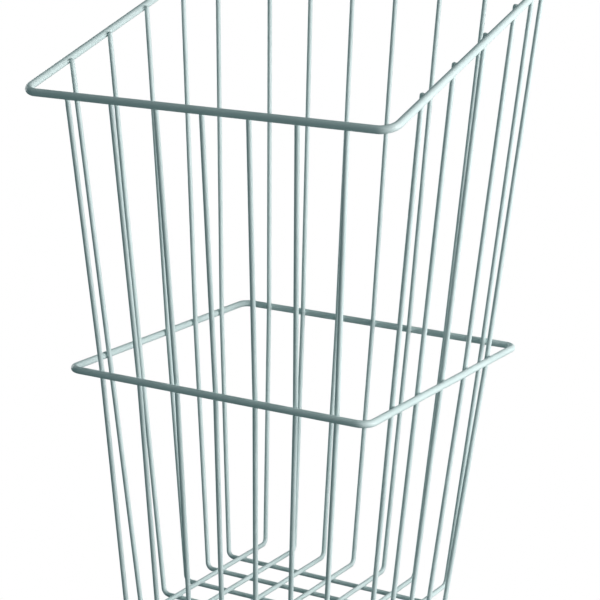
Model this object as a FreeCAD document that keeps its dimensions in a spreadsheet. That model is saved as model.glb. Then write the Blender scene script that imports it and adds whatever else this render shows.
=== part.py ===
import FreeCAD, Part
import math
import os
import re

import Sketcher

# Tall open basket of welded round wire, in millimetres, +Z up.
# It stands on its five cross wires at Z = 0, with the origin under the middle of its mid ring.
# +X is the right-hand side and +Y is the rear, where the sloping mouth is highest.
# Loops are sized at the wire's centre line, and every upright wire is welded inside them.

SIZES = {
    # wires, coating included
    "rod_wire": 4.2,            # the thin upright wires
    "ring_wire": 6.0,           # the loop around the middle
    "rim_wire": 6.5,            # the loop at the mouth
    "weld_bite": 0.1,           # how far two wires sink into each other at a weld
    # mouth
    "rim_width": 330.0,
    "rim_depth": 333.0,         # front to rear, seen from above
    "rim_front_height": 464.0,
    "rim_rear_height": 574.0,
    "rim_corner_radius": 12.0,
    # ring
    "ring_width": 280.0,
    "ring_depth": 280.0,
    "ring_height": 232.0,
    "ring_corner_radius": 10.0,
    # floor: where the legs would meet the floor if their bends were sharp
    "foot_side": 112.5,
    "foot_front": 117.5,
    "foot_rear": 112.0,
    # bends of the thin wires
    "foot_radius": 6.0,
    "lean_radius": 60.0,        # the slight bend where a leg passes the ring
    "tip_length": 2.0,          # how far a tip reaches above the rim's centre line
    # from the corner to the outermost wire, at the ring and on the floor
    "long_edge_ring": 29.5,
    "long_edge_floor": 17.0,
    "cross_edge_ring": 50.0,
    "cross_edge_floor": 41.5,
}

LONG_WIRES = 7                  # down the front, along the floor and up the rear
CROSS_WIRES = 5                 # down one side, across the floor and up the other

# Sizes that follow from the cells above.
DERIVED = {
    "ring_seat": "(ring_wire + rod_wire) / 2 - weld_bite",
    "rim_seat": "(rim_wire + rod_wire) / 2 - weld_bite",
    "cross_floor": "rod_wire / 2",
    "long_floor": "cross_floor + rod_wire - weld_bite",
    "rim_rise": "rim_rear_height - rim_front_height",
    "rim_slope": "rim_rise / rim_depth",
    "long_floor_pitch": f"2 * (foot_side - long_edge_floor) / {LONG_WIRES - 1}",
    "long_ring_pitch": f"(ring_width - 2 * long_edge_ring) / {LONG_WIRES - 1}",
    "cross_floor_pitch": f"(foot_front + foot_rear - 2 * cross_edge_floor) / {CROSS_WIRES - 1}",
    "cross_ring_pitch": f"(ring_depth - 2 * cross_edge_ring) / {CROSS_WIRES - 1}",
    "long_fan": "(long_ring_pitch - long_floor_pitch) / (ring_height - long_floor)",
    "cross_fan": "(cross_ring_pitch - cross_floor_pitch) / (ring_height - cross_floor)",
}

doc = FreeCAD.newDocument("WireBasket")
sheet = doc.addObject("Spreadsheet::Sheet", "Sizes")
for row, (alias, value) in enumerate(SIZES.items(), start=1):
    sheet.set(f"A{row}", alias)
    sheet.set(f"B{row}", str(value))
    sheet.setAlias(f"B{row}", alias)
doc.recompute()


def formula(text):
    """Spell a formula out in the sheet's cells."""
    def spell(match):
        word = match.group(0)
        if word in DERIVED:
            return "(" + formula(DERIVED[word]) + ")"
        return "Sizes." + word if word in SIZES else word
    return re.sub(r"[a-z_]+", spell, text)


def number(text):
    """Today's value of a formula, for placing a sketch's first lines."""
    value = sheet.evalExpression(formula(text))
    return float(getattr(value, "Value", value))


def new_sketch(body, name, role):
    """A sketch on one of the body's own origin planes."""
    plane = [feature for feature in body.Origin.OriginFeatures if feature.Role == role][0]
    sketch = body.newObject("Sketcher::SketchObject", name)
    sketch.AttachmentSupport = [(plane, "")]
    sketch.MapMode = "FlatFace"
    return sketch


def bind(sketch, name, text, *constraint):
    """Add a driving dimension that follows a formula."""
    index = sketch.addConstraint(Sketcher.Constraint(*constraint, number(text)))
    sketch.renameConstraint(index, name)
    sketch.setExpression("Constraints." + name, formula(text))


def bind_point(sketch, name, geometry, vertex, side, across, up=None):
    """Hold a point at a distance to one side of the origin and, if given, above it."""
    if side < 0:
        bind(sketch, name + "_across", across, "DistanceX", geometry, vertex, -1, 1)
    else:
        bind(sketch, name + "_across", across, "DistanceX", -1, 1, geometry, vertex)
    if up:
        bind(sketch, name + "_up", up, "DistanceY", -1, 1, geometry, vertex)


def add_bent_line(sketch, corners, radii):
    """Draw straight runs joined by tangent arcs; runs and arcs alternate in the sketch."""
    start = corners[0]
    for before, corner, after, radius in zip(corners, corners[1:], corners[2:], radii):
        back = (before - corner).normalize()
        onward = (after - corner).normalize()
        half_turn = (math.pi - back.getAngle(onward)) / 2
        setback = radius * math.tan(half_turn)
        inward = (back + onward).normalize()
        middle = corner + inward * (radius / math.cos(half_turn) - radius)
        sketch.addGeometry(Part.LineSegment(start, corner + back * setback), False)
        sketch.addGeometry(Part.Arc(corner + back * setback, middle, corner + onward * setback), False)
        start = corner + onward * setback
    sketch.addGeometry(Part.LineSegment(start, corners[-1]), False)


def join_tangent(sketch, count):
    """Tie each of the first pieces of a path to the next one, end to end and without a kink."""
    for index in range(count - 1):
        line, line_vertex, arc = (index + 1, 1, index) if index % 2 else (index, 2, index + 1)
        shared = sketch.getPoint(line, line_vertex)
        arc_vertex = min((1, 2), key=lambda vertex: sketch.getPoint(arc, vertex).distanceToPoint(shared))
        sketch.addConstraint(Sketcher.Constraint("Tangent", line, line_vertex, arc, arc_vertex))


def sweep_wire(body, path, role, diameter, offset=None):
    """Sweep a round section along a path; the section lies where the path crosses its plane."""
    centre = FreeCAD.Vector(number(offset) if offset else 0, 0, 0)
    section = new_sketch(body, "Section", role)
    section.addGeometry(Part.Circle(centre, FreeCAD.Vector(0, 0, 1), number(diameter) / 2), False)
    bind(section, "diameter", diameter, "Diameter", 0)
    if offset:
        bind(section, "offset", offset, "DistanceX", -1, 1, 0, 3)
        section.addConstraint(Sketcher.Constraint("PointOnObject", 0, 3, -1))
    else:
        section.addConstraint(Sketcher.Constraint("Coincident", 0, 3, -1, 1))
    pipe = body.newObject("PartDesign::AdditivePipe", "Wire")
    pipe.Profile = (section, [""])
    pipe.Spine = (path, [""])


def place(body, axis, angle=None, **position):
    """Turn a body about an axis and move it, both by formulas."""
    body.Placement = FreeCAD.Placement(FreeCAD.Vector(), FreeCAD.Rotation(axis, 1))
    body.setExpression("Placement.Rotation.Angle", formula(angle) if angle else "0 deg")
    for direction, text in position.items():
        body.setExpression("Placement.Base." + direction, formula(text))


def wire_loop(label, wire, width, depth, corner_radius):
    """A closed rectangular loop with rounded corners, flat in its own XY plane."""
    body = doc.addObject("PartDesign::Body", label)
    half_width = f"({width}) / 2"
    half_depth = f"({depth}) / 2"
    path = new_sketch(body, "Path", "XY_Plane")
    x = number(half_width)
    y = number(half_depth)
    corners = [(x, 0), (x, y), (-x, y), (-x, -y), (x, -y), (x, 0)]
    corners = [FreeCAD.Vector(*corner) for corner in corners]
    add_bent_line(path, corners, [number(corner_radius)] * 4)
    pieces = len(path.Geometry)
    join_tangent(path, pieces)
    right, rear, left, front, right_again = range(0, pieces, 2)
    path.addConstraint(Sketcher.Constraint("Coincident", right_again, 2, right, 1))
    path.addConstraint(Sketcher.Constraint("PointOnObject", right, 1, -1))
    for line in (right, left, right_again):
        path.addConstraint(Sketcher.Constraint("Vertical", line))
    for line in (rear, front):
        path.addConstraint(Sketcher.Constraint("Horizontal", line))
    for arc in range(3, pieces, 2):
        path.addConstraint(Sketcher.Constraint("Equal", 1, arc))
    bind(path, "corner_radius", corner_radius, "Radius", 1)
    bind(path, "right_side", half_width, "DistanceX", -1, 1, right, 1)
    bind(path, "left_side", half_width, "DistanceX", left, 1, -1, 1)
    bind(path, "rear_side", half_depth, "DistanceY", -1, 1, rear, 1)
    bind(path, "front_side", half_depth, "DistanceY", front, 1, -1, 1)
    sweep_wire(body, path, "XZ_Plane", wire, half_width)
    return body


def lean_shift(end):
    """How far the bend at the ring swings outside its corner, where the wire seats on the ring."""
    lower = f"atan(({end['ring']} - {end['foot']}) / ({end['ring_up']}))"
    upper = f"atan(({end['rim']} - ({end['ring']})) / ({end['rim_up']} - {end['ring_up']}))"
    turn = f"({upper} - {lower})"
    return f"lean_radius * tan({turn} / 2) * tan(abs({turn}) / 4)"


def bent_wire(label, plane, section_plane, ends):
    """A U-shaped wire in one plane: up one wall, along the floor and up the other wall.

    Each end gives formulas for where the leg stands at the foot, the ring and the rim,
    across and up, in the wire's own plane. Both feet are at height 0 of that plane.
    """
    body = doc.addObject("PartDesign::Body", label)
    path = new_sketch(body, "Path", plane)
    near, far = [dict(end, ring=f"({end['ring']} - {lean_shift(end)})") for end in ends]
    corners = []
    for side, end, order in ((-1, near, (2, 1, 0)), (1, far, (0, 1, 2))):
        across = [end["foot"], end["ring"], end["rim"]]
        up = ["0", end["ring_up"], end["rim_up"]]
        points = [FreeCAD.Vector(side * number(a), number(u)) for a, u in zip(across, up)]
        lean = points[2] - points[1]
        points[2] = points[2] + lean * (number(end["tip_up"]) / lean.y)
        corners += [points[index] for index in order]
    radii = [number(name) for name in ("lean_radius", "foot_radius", "foot_radius", "lean_radius")]
    add_bent_line(path, corners, radii)
    pieces = len(path.Geometry)
    join_tangent(path, pieces)

    near_upper, near_lower, floor_run, far_lower, far_upper = range(0, pieces, 2)
    for name, arc in zip(("near_lean", "near_foot", "far_foot", "far_lean"), range(1, pieces, 2)):
        radius = "foot_radius" if "foot" in name else "lean_radius"
        bind(path, name + "_radius", radius, "Radius", arc)
    legs = (("near", -1, near, near_upper, near_lower, 1), ("far", 1, far, far_upper, far_lower, 2))
    for name, side, end, upper, lower, tip_vertex in legs:
        marks = (("rim", end["rim"], end["rim_up"], (upper,)),
                 ("ring", end["ring"], end["ring_up"], (upper, lower)),
                 ("foot", end["foot"], None, (lower, floor_run)))
        for mark, across, up, lines in marks:
            spot = FreeCAD.Vector(side * number(across), number(up) if up else 0)
            point = path.addGeometry(Part.Point(spot), True)
            for line in lines:
                path.addConstraint(Sketcher.Constraint("PointOnObject", point, 1, line))
            bind_point(path, f"{name}_{mark}", point, 1, side, across, up)
            if not up:
                path.addConstraint(Sketcher.Constraint("PointOnObject", point, 1, -1))
        tip_up = f"{end['rim_up']} + {end['tip_up']}"
        bind(path, name + "_tip_up", tip_up, "DistanceY", -1, 1, upper, tip_vertex)
    sweep_wire(body, path, section_plane, "rod_wire")
    return body


def fan(step, spread):
    """A wire's own lean, from its place left or right of the middle one."""
    slope = f"({abs(step)} * {spread})"
    return f"atan({slope})", f"cos(atan({slope}))"


def long_wire(number_in_row):
    """A front-to-rear wire; its plane leans outwards with its distance from the middle."""
    step = number_in_row - (LONG_WIRES + 1) // 2
    angle, shorten = fan(step, "long_fan")
    ring_up = f"(ring_height - long_floor) / {shorten}"
    ends = [
        {"foot": foot, "ring": "ring_depth / 2 - ring_seat", "rim": "rim_depth / 2 - rim_seat",
         "ring_up": ring_up, "rim_up": f"({rim_height} - long_floor) / {shorten}",
         "tip_up": f"tip_length / {shorten}"}
        for foot, rim_height in (("foot_front", "rim_front_height"), ("foot_rear", "rim_rear_height"))
    ]
    body = bent_wire(f"long_wire_{number_in_row}", "YZ_Plane", "XZ_Plane", ends)
    axis = FreeCAD.Vector(0, -1 if step < 0 else 1, 0)
    place(body, axis, angle, x=f"{step} * long_floor_pitch", z="long_floor")
    return body


def cross_wire(number_in_row):
    """A side-to-side wire; it reaches the sloping rim where its leaning plane crosses it."""
    step = number_in_row - (CROSS_WIRES + 1) // 2
    angle, shorten = fan(step, "cross_fan")
    fan_slope = f"({step} * cross_fan)"
    behind_front = f"({step} * cross_floor_pitch - {fan_slope} * cross_floor + rim_depth / 2)"
    rim_height = f"((rim_front_height + rim_slope * {behind_front}) / (1 - rim_slope * {fan_slope}))"
    end = {"foot": "foot_side", "ring": "ring_width / 2 - ring_seat", "rim": "rim_width / 2 - rim_seat",
           "ring_up": f"(ring_height - cross_floor) / {shorten}",
           "rim_up": f"({rim_height} - cross_floor) / {shorten}",
           "tip_up": f"tip_length / {shorten}"}
    body = bent_wire(f"cross_wire_{number_in_row}", "XZ_Plane", "YZ_Plane", [end, end])
    axis = FreeCAD.Vector(1 if step < 0 else -1, 0, 0)
    place(body, axis, angle, y=f"{step} * cross_floor_pitch", z="cross_floor")
    return body


ring = wire_loop("mid_ring", "ring_wire", "ring_width", "ring_depth", "ring_corner_radius")
place(ring, FreeCAD.Vector(1, 0, 0), z="ring_height")

rim_slant = "rim_depth / cos(atan(rim_slope))"
rim = wire_loop("top_rim", "rim_wire", "rim_width", rim_slant, "rim_corner_radius")
place(rim, FreeCAD.Vector(1, 0, 0), "atan(rim_slope)", z="(rim_front_height + rim_rear_height) / 2")

parts = [rim, ring]
parts += [long_wire(index) for index in range(1, LONG_WIRES + 1)]
parts += [cross_wire(index) for index in range(1, CROSS_WIRES + 1)]
doc.recompute()

for item in doc.Objects:
    if {"Invalid", "Error"} & set(item.State):
        raise RuntimeError(f"{item.Label} failed: {item.State}")
for part in parts:
    if part.Shape.isNull() or not part.Shape.isValid() or len(part.Shape.Solids) != 1:
        raise RuntimeError(f"{part.Label} is not one valid solid")

os.makedirs("parts", exist_ok=True)
for part in parts:
    part.Shape.exportStep(f"parts/{part.Label}.step")

box = FreeCAD.BoundBox()
for part in parts:
    box.add(part.Shape.optimalBoundingBox(True, False))
print(f"{len(parts)} wires, overall {box.XLength:.1f} x {box.YLength:.1f} x {box.ZLength:.1f} mm,",
      f"standing at Z = {box.ZMin:.3f}")
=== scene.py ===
import math
import random

import bmesh
import bpy
from mathutils import Matrix, Vector
from mathutils.kdtree import KDTree


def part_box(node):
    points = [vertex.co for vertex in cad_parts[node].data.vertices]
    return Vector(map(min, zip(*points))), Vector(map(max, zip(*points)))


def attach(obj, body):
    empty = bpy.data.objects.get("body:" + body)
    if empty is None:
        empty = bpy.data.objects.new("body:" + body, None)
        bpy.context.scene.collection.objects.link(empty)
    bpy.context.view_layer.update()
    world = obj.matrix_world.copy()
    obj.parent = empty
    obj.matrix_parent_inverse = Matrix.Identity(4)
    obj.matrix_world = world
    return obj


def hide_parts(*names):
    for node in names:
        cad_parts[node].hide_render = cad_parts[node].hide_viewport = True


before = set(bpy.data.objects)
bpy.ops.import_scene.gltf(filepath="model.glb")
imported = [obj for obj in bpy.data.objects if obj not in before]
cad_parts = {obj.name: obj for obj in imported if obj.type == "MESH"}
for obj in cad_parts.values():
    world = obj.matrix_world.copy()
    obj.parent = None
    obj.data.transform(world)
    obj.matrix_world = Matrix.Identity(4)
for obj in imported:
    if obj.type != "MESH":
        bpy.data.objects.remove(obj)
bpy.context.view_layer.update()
mm = 0.001
scene = bpy.context.scene
print("frame loaded:", len(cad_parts), "nodes")


def boxOf(node):
    low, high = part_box(node)
    return Vector(low), Vector(high)


# the camera stands in front and to the right, a little above the rim

cameraView = {
    "azimuth": 29.45,           # degrees round from the front, towards the right-hand side
    "elevation": 13.82,         # degrees above the horizon
    "roll": 1.42,
    "distance": 1652.9 * mm,    # from the middle of the ring
    "aside": 0.4 * mm,          # how far the aim lies right of the ring's middle
    "above": 49.0 * mm,         # and above it
    "lens": 115.6,
    "sensor": 36.0,
}


def placeCamera(view, middle):
    azimuth = math.radians(view["azimuth"])
    elevation = math.radians(view["elevation"])
    flat = math.cos(elevation)
    back = Vector((math.sin(azimuth) * flat, -math.cos(azimuth) * flat, math.sin(elevation)))
    roll = Matrix.Rotation(math.radians(view["roll"]), 3, back)
    right = roll @ Vector((math.cos(azimuth), math.sin(azimuth), 0))
    up = back.cross(right)
    data = bpy.data.cameras.new("viewCamera")
    data.lens = view["lens"]
    data.sensor_width = view["sensor"]
    camera = bpy.data.objects.new("viewCamera", data)
    scene.collection.objects.link(camera)
    eye = middle + right * view["aside"] + up * view["above"] + back * view["distance"]
    turn = Matrix((right, up, back)).transposed().to_4x4()
    camera.matrix_world = Matrix.Translation(eye) @ turn
    scene.camera = camera


placeCamera(cameraView, sum(boxOf("mid_ring"), Vector()) / 2)
print("camera placed")

# pale powder coating, fine-grained and satin, with painted shade darkening it near each weld

coatingLook = {
    "pale": (0.75, 0.86, 0.85, 1),
    "deep": (0.66, 0.78, 0.77, 1),
    # the darker tone painted near the welds as shade
    "weldShadeTone": (0.65, 0.76, 0.75, 1),
    "patchScale": 16.0,         # soft patches of tone, per metre
    "patchDetail": 3.0,
    "patchSpan": (0.35, 0.65),  # the part of the noise that goes from deep to pale
    "grainScale": 420.0,        # the powder's orange peel, per metre
    "grainDetail": 2.0,
    "grainHeight": 0.01 * mm,
    "roughness": (0.34, 0.46),
}


def addNode(tree, kind, inputs, **settings):
    node = tree.nodes.new(kind)
    for name, value in settings.items():
        setattr(node, name, value)
    for name, value in inputs.items():
        if isinstance(value, bpy.types.NodeSocket):
            tree.links.new(value, node.inputs[name])
        else:
            node.inputs[name].default_value = value
    return node


def blend(tree, share, first, second):
    # a colour between two others
    mix = addNode(tree, "ShaderNodeMixRGB", {"Fac": share, "Color1": first, "Color2": second})
    return mix.outputs["Color"]


def makeCoating(look):
    material = bpy.data.materials.new("powderCoat")
    material.use_nodes = True
    tree = material.node_tree
    shader = tree.nodes["Principled BSDF"]
    place = addNode(tree, "ShaderNodeTexCoord", {}).outputs["Object"]
    patches = addNode(tree, "ShaderNodeTexNoise", {
        "Vector": place, "Scale": look["patchScale"], "Detail": look["patchDetail"]})
    grain = addNode(tree, "ShaderNodeTexNoise", {
        "Vector": place, "Scale": look["grainScale"], "Detail": look["grainDetail"]})
    least, most = look["patchSpan"]
    spread = addNode(tree, "ShaderNodeMapRange", {
        "Value": patches.outputs["Fac"], "From Min": least, "From Max": most})
    # this attribute carries painted shade: strongest at each weld and fading along the wires
    weldShadeMask = addNode(tree, "ShaderNodeAttribute", {}, attribute_name="nearWeldShade")
    tone = blend(tree, spread.outputs["Result"], look["deep"], look["pale"])
    # blend towards the painted shade tone near the welds
    tone = blend(tree, weldShadeMask.outputs["Fac"], tone, look["weldShadeTone"])
    tree.links.new(tone, shader.inputs["Base Color"])
    smooth, rough = look["roughness"]
    gloss = addNode(tree, "ShaderNodeMapRange", {
        "Value": grain.outputs["Fac"], "To Min": smooth, "To Max": rough})
    tree.links.new(gloss.outputs["Result"], shader.inputs["Roughness"])
    bump = addNode(tree, "ShaderNodeBump", {
        "Height": grain.outputs["Fac"], "Strength": 1.0, "Distance": look["grainHeight"]})
    tree.links.new(bump.outputs["Normal"], shader.inputs["Normal"])
    return material


coating = makeCoating(coatingLook)
print("coating mixed")

# every wire is a round section carried along straight runs and bends

wireSizes = {
    "rod": 2.1 * mm,            # radii over the coating
    "ring": 3.0 * mm,
    "rim": 3.25 * mm,
    "bite": 0.1 * mm,           # how far two wires sink into each other at a weld
    "sides": 20,
    "step": 8.0 * mm,           # between two sections of a straight run
    "turnStep": math.radians(6),
    "tipRound": 2.0 * mm,       # rounding of a cut end under its coating
    "tipSegments": 4,
    "merge": 0.01 * mm,         # where a closed loop meets its own start
}


def edgesOf(items):
    return [item for item in items if isinstance(item, bmesh.types.BMEdge)]


def drawWire(radius, corners, bends, closed=False):
    # bends are the radii at the corners between the first and the last
    mesh = bmesh.new()
    heading = (corners[1] - corners[0]).normalized()
    start = Matrix.Translation(corners[0]) @ heading.to_track_quat("Z", "Y").to_matrix().to_4x4()
    bmesh.ops.create_circle(mesh, cap_ends=not closed, segments=wireSizes["sides"],
                            radius=radius, matrix=start)
    section = mesh.verts[:] + mesh.edges[:]
    at = corners[0]
    for corner, after, bend in zip(corners[1:], corners[2:] + [None], bends + [0]):
        onward = (after - corner).normalized() if after else heading
        turn = heading.angle(onward) if after else 0
        setback = bend * math.tan(turn / 2)
        run = (corner - at).length - setback
        steps = max(1, round(run / wireSizes["step"]))
        section = bmesh.ops.spin(mesh, geom=section, cent=at, axis=(0, 0, 1), angle=0,
                                 dvec=heading * run / steps, steps=steps)["geom_last"]
        at = at + heading * run
        if after:
            axis = heading.cross(onward).normalized()
            steps = max(2, round(turn / wireSizes["turnStep"]))
            hub = at + axis.cross(heading) * bend
            section = bmesh.ops.spin(mesh, geom=section, cent=hub, axis=axis, angle=turn,
                                     steps=steps)["geom_last"]
            at = corner + onward * setback
            heading = onward
    if closed:
        bmesh.ops.remove_doubles(mesh, verts=mesh.verts, dist=wireSizes["merge"])
    else:
        bmesh.ops.contextual_create(mesh, geom=edgesOf(section))
        ends = [face for face in mesh.faces if len(face.verts) == wireSizes["sides"]]
        bmesh.ops.bevel(mesh, geom=[edge for face in ends for edge in face.edges],
                        offset=wireSizes["tipRound"], segments=wireSizes["tipSegments"],
                        profile=0.5, affect="EDGES", material=-1)
    bmesh.ops.recalc_face_normals(mesh, faces=mesh.faces)
    return mesh


def finishPiece(name, mesh, *nodes):
    for face in mesh.faces:
        face.smooth = True
    data = bpy.data.meshes.new(name)
    mesh.to_mesh(data)
    mesh.free()
    data.materials.append(coating)
    piece = bpy.data.objects.new(name, data)
    scene.collection.objects.link(piece)
    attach(piece, "root")
    if nodes:
        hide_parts(*nodes)
    return piece


# the two closed loops, sized at their centre lines

loopSizes = {
    "ringCorner": 10.0 * mm,
    "rimCorner": 12.0 * mm,
}

ringLow, ringHigh = boxOf("mid_ring")
rimLow, rimHigh = boxOf("top_rim")
ringWide, ringDeep = (ringHigh[axis] - wireSizes["ring"] for axis in (0, 1))
rimWide, rimDeep = (rimHigh[axis] - wireSizes["rim"] for axis in (0, 1))
ringHeight = (ringLow.z + ringHigh.z) / 2
rimFront = rimLow.z + wireSizes["rim"]
rimRear = rimHigh.z - wireSizes["rim"]
rimSlope = (rimRear - rimFront) / (2 * rimDeep)


def drawLoop(name, node, radius, wide, deep, corner, height, slope=0.0):
    # wide and deep are half sizes, and the loop is drawn flat before it is tilted
    slant = deep * math.hypot(1, slope)
    corners = [Vector((x, y, 0)) for x, y in (
        (wide, 0), (wide, slant), (-wide, slant), (-wide, -slant), (wide, -slant), (wide, 0))]
    mesh = drawWire(radius, corners, [corner] * 4, closed=True)
    place = Matrix.Translation((0, 0, height)) @ Matrix.Rotation(math.atan(slope), 4, "X")
    bmesh.ops.transform(mesh, matrix=place, verts=mesh.verts)
    return finishPiece(name, mesh, node)


wires = [
    drawLoop("coated_ring", "mid_ring", wireSizes["ring"], ringWide, ringDeep,
             loopSizes["ringCorner"], ringHeight),
    drawLoop("coated_rim", "top_rim", wireSizes["rim"], rimWide, rimDeep,
             loopSizes["rimCorner"], (rimFront + rimRear) / 2, rimSlope),
]
print("loops drawn")

# the thin wires run down one wall, under the basket and up the opposite wall

legSizes = {
    "footFront": 117.5 * mm,    # where the legs would meet the floor if their bends were sharp
    "footRear": 112.0 * mm,
    "footSide": 112.5 * mm,
    "footBend": 6.0 * mm,
    "leanBend": 60.0 * mm,      # the slight bend where a leg passes the ring
    "tip": 2.0 * mm,            # above the rim's centre line
}
xAxis, yAxis, zAxis = Matrix.Identity(3)
ringSeat = wireSizes["ring"] + wireSizes["rod"] - wireSizes["bite"]
rimSeat = wireSizes["rim"] + wireSizes["rod"] - wireSizes["bite"]
contacts = {"floor_welds": [], "ring_welds": [], "rim_welds": []}


def addContact(group, centre, along, across, inward, radius):
    # centre and along belong to the outer or lower wire, across is the thin wire's direction
    normal = along.cross(across).normalized()
    if normal.dot(inward) < 0:
        normal.negate()
    point = centre + normal * (radius - wireSizes["bite"] / 2)
    bar = along.normalized()
    if normal.cross(bar).dot(across) * across.z < 0:
        bar.negate()
    contacts[group].append((point, bar, normal, radius))


def drawLegs(name, node, across, fan, floor, feet, ring, rim, rimHeights, rimRun):
    # fan is the wire's sideways lean for each unit of height, as a vector
    bar = across.cross(zAxis)
    corners = []
    for side, foot, rimHeight in zip((-1, 1), feet, rimHeights):
        marks = [floor + across * side * foot]
        for reach, height in ((ring, ringHeight), (rim, rimHeight)):
            marks.append(floor + across * side * reach + (zAxis + fan) * (height - floor.z))
        lean = marks[2] - marks[1]
        outward = across * side
        addContact("ring_welds", marks[1] + outward * ringSeat, bar, lean, -outward, wireSizes["ring"])
        addContact("rim_welds", marks[2] + outward * rimSeat, rimRun, lean, -outward, wireSizes["rim"])
        marks[2] = marks[2] + lean * (legSizes["tip"] / lean.z)
        corners += marks[::side]
    bends = [legSizes[bend] for bend in ("leanBend", "footBend", "footBend", "leanBend")]
    mesh = drawWire(wireSizes["rod"], corners, bends)
    wires.append(finishPiece(name, mesh, node))


def spreadOf(node, axis):
    # where a wire's centre line lies on the floor and at its highest tip, along one axis
    low, high = (corner[axis] for corner in boxOf(node))
    if low < 0 < high:
        return 0.0, 0.0
    side = math.copysign(1, low)
    near, far = sorted((abs(low), abs(high)))
    return side * (near + wireSizes["rod"]), side * (far - wireSizes["rod"])


longNodes = sorted(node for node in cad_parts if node.startswith("long_wire"))
crossNodes = sorted(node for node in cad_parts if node.startswith("cross_wire"))
longFloor = boxOf(longNodes[0])[0].z + wireSizes["rod"]
crossFloor = boxOf(crossNodes[0])[0].z + wireSizes["rod"]

longBases = []
for index, node in enumerate(longNodes, start=1):
    base, top = spreadOf(node, 0)
    longBases.append(base)
    fan = xAxis * (top - base) / (rimRear + legSizes["tip"] - longFloor)
    drawLegs(f"coated_long_wire_{index}", node, yAxis, fan, Vector((base, 0, longFloor)),
             (legSizes["footFront"], legSizes["footRear"]), ringDeep - ringSeat, rimDeep - rimSeat,
             (rimFront, rimRear), xAxis)

crossBases = []
for index, node in enumerate(crossNodes, start=1):
    base, top = spreadOf(node, 1)
    crossBases.append(base)
    fan = (top - base) / (boxOf(node)[1].z - crossFloor)
    reach = (base + fan * (rimFront + rimSlope * rimDeep - crossFloor)) / (1 - fan * rimSlope)
    rimHeight = rimFront + rimSlope * (reach + rimDeep)
    drawLegs(f"coated_cross_wire_{index}", node, xAxis, yAxis * fan, Vector((0, base, crossFloor)),
             (legSizes["footSide"],) * 2, ringWide - ringSeat, rimWide - rimSeat, (rimHeight,) * 2,
             yAxis + zAxis * rimSlope)

for base in longBases:
    for row in crossBases:
        addContact("floor_welds", Vector((base, row, crossFloor)), xAxis, yAxis, zAxis, wireSizes["rod"])
print("thin wires drawn:", len(longBases), "long and", len(crossBases), "across")

# at each weld the coating has flowed into a small collar between the two wires

weldSizes = {
    "waist": 1.9 * mm,          # half width half way between the wires
    "reach": {                  # half length along a wire
        "floor_welds": 3.5 * mm,
        "ring_welds": 2.6 * mm,
        "rim_welds": 3.5 * mm,
    },
    "girth": 0.85,              # half width across a wire, for each unit of its radius
    "tipRoom": 0.9 * mm,        # how far a rim collar may rise towards a tip
    "sink": 0.06 * mm,          # how deep a collar's ends go into the wires
    "sides": 16,
    "rows": 8,
    "uneven": 0.08,             # share by which collars differ in size
    "seed": 5,
    "shade": 6.0 * mm,          # how far along a wire from a weld the painted shade reaches
    "shadeFall": 1.5,           # how fast it fades, as a power
}


def heightOn(radius, offset):
    # a round wire's surface, from the middle of the contact, at an offset across the wire
    return math.sqrt(max(radius * radius - offset * offset, 0)) - radius + wireSizes["bite"] / 2


def drawWelds(name, spots, reach, room, dice):
    # room is how far a collar may reach towards a wire's tip
    mesh = bmesh.new()
    for point, along, normal, radius in spots:
        size = 1 + dice.uniform(-1, 1) * weldSizes["uneven"]
        drum = bmesh.ops.create_circle(mesh, cap_ends=True, segments=weldSizes["sides"], radius=1,
                                       matrix=Matrix.Translation((0, 0, -1)))["verts"]
        section = drum + list({edge for vert in drum for edge in vert.link_edges})
        section = bmesh.ops.spin(mesh, geom=section, cent=(0, 0, 0), axis=(0, 0, 1), angle=0,
                                 dvec=(0, 0, 2 / weldSizes["rows"]), steps=weldSizes["rows"])["geom_last"]
        bmesh.ops.contextual_create(mesh, geom=edgesOf(section))
        fresh = [vert for vert in mesh.verts if not vert.tag]
        for vert in fresh:
            vert.tag = True
            x, y, level = vert.co
            flare = level * level
            girth = weldSizes["girth"] * (radius if level < 0 else wireSizes["rod"])
            wide, deep = (reach, girth) if level < 0 else (girth, reach)
            x *= (weldSizes["waist"] + (wide - weldSizes["waist"]) * flare) * size
            y *= (weldSizes["waist"] + (deep - weldSizes["waist"]) * flare) * size
            below = heightOn(radius, y) - weldSizes["sink"]
            above = weldSizes["sink"] - heightOn(wireSizes["rod"], x)
            vert.co = (x, min(y, room), below + (above - below) * (level + 1) / 2)
        turn = Matrix((along, normal.cross(along), normal)).transposed().to_4x4()
        bmesh.ops.transform(mesh, matrix=Matrix.Translation(point) @ turn, verts=fresh)
    bmesh.ops.recalc_face_normals(mesh, faces=mesh.faces)
    return finishPiece(name, mesh)


dice = random.Random(weldSizes["seed"])
for name, spots in contacts.items():
    reach = weldSizes["reach"][name]
    room = weldSizes["tipRoom"] if name == "rim_welds" else reach
    wires.append(drawWelds(name, spots, reach, room, dice))
    print(name, len(spots))


# paints shade near each weld into an attribute that fades with distance along the wires
def shadeWelds(pieces, spots):
    tree = KDTree(len(spots))
    for index, spot in enumerate(spots):
        tree.insert(spot[0], index)
    tree.balance()
    for piece in pieces:
        shade = piece.data.attributes.new("nearWeldShade", "FLOAT", "POINT")
        for vert in piece.data.vertices:
            away = tree.find(vert.co)[2] / weldSizes["shade"]
            shade.data[vert.index].value = max(0.0, 1 - away) ** weldSizes["shadeFall"]


shadeWelds(wires, [spot for spots in contacts.values() for spot in spots])
print("coating shaded at the welds")

# white floor and backdrop that throw no light back, under soft lights, the strongest from the right

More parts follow.
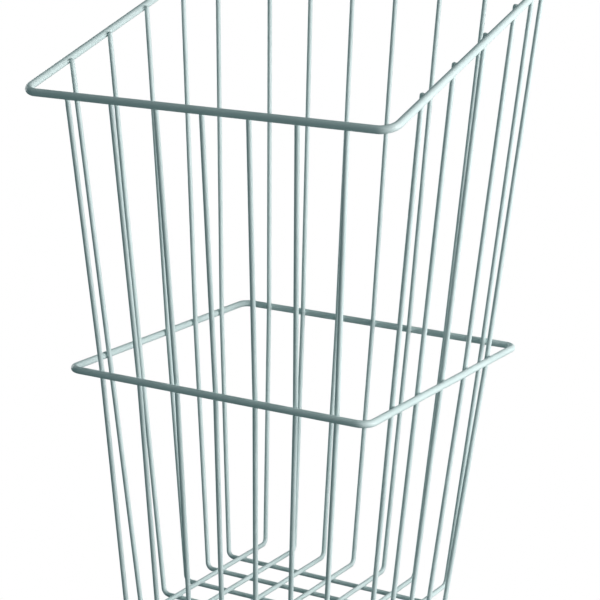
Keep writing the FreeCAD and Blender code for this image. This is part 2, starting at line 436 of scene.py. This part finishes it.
stageLook = {
    "radius": 9.0,
    "floorSides": 64,
    "backdropSides": (48, 24),  # round the sphere, and from pole to pole
    "aim": (0, 0, 0.3),         # the point that every light faces
    "ambient": 0.112,
    "ambientColor": (0.54, 0.96, 1.0, 1),
}
studioLights = [
    {"name": "sideLight", "place": (2.6, 0.2, 0.5), "size": 1.6, "power": 60, "color": (1.0, 0.98, 0.98)},
    {"name": "highLight", "place": (1.7, 0, 1.8), "size": 1.2, "power": 11},
    {"name": "lowLight", "place": (1.7, 0.9, 0.1), "size": 0.5, "power": 10},
    {"name": "cornerLight", "place": (1.8, -1.8, 0.5), "size": 1.2, "power": 6},
    {"name": "leftLight", "place": (-2.2, 0.9, 0.6), "size": 1.6, "power": 20},
    {"name": "rearLight", "place": (0, 4.0, 0.6), "size": 3.0, "power": 25},
]


def addStagePiece(name, mesh):
    material = bpy.data.materials.new(name)
    material.use_nodes = True
    shader = material.node_tree.nodes["Principled BSDF"]
    shader.inputs["Base Color"].default_value = (0, 0, 0, 1)
    shader.inputs["Specular IOR Level"].default_value = 0.0
    shader.inputs["Emission Color"].default_value = (1, 1, 1, 1)
    shader.inputs["Emission Strength"].default_value = 1.0
    data = bpy.data.meshes.new(name)
    mesh.to_mesh(data)
    mesh.free()
    data.materials.append(material)
    piece = bpy.data.objects.new(name, data)
    scene.collection.objects.link(piece)
    piece.visible_diffuse = False
    piece.visible_glossy = False
    return piece


def setStage(look):
    mesh = bmesh.new()
    bmesh.ops.create_circle(mesh, cap_ends=True, segments=look["floorSides"], radius=look["radius"])
    addStagePiece("floor", mesh)
    mesh = bmesh.new()
    around, upward = look["backdropSides"]
    bmesh.ops.create_uvsphere(mesh, u_segments=around, v_segments=upward, radius=look["radius"])
    bmesh.ops.reverse_faces(mesh, faces=mesh.faces)
    addStagePiece("backdrop", mesh).visible_shadow = False
    world = bpy.data.worlds.new("studio")
    world.use_nodes = True
    background = world.node_tree.nodes["Background"]
    background.inputs["Color"].default_value = look["ambientColor"]
    background.inputs["Strength"].default_value = look["ambient"]
    scene.world = world
    scene.view_settings.view_transform = "Standard"


def addLight(name, place, size, power, color=(1, 1, 1)):
    data = bpy.data.lights.new(name, "AREA")
    data.size = size
    data.energy = power
    data.color = color
    light = bpy.data.objects.new(name, data)
    scene.collection.objects.link(light)
    turn = (Vector(stageLook["aim"]) - Vector(place)).to_track_quat("-Z", "Y").to_matrix().to_4x4()
    light.matrix_world = Matrix.Translation(place) @ turn
    light.visible_camera = False


setStage(stageLook)
for light in studioLights:
    addLight(**light)
print("stage set")
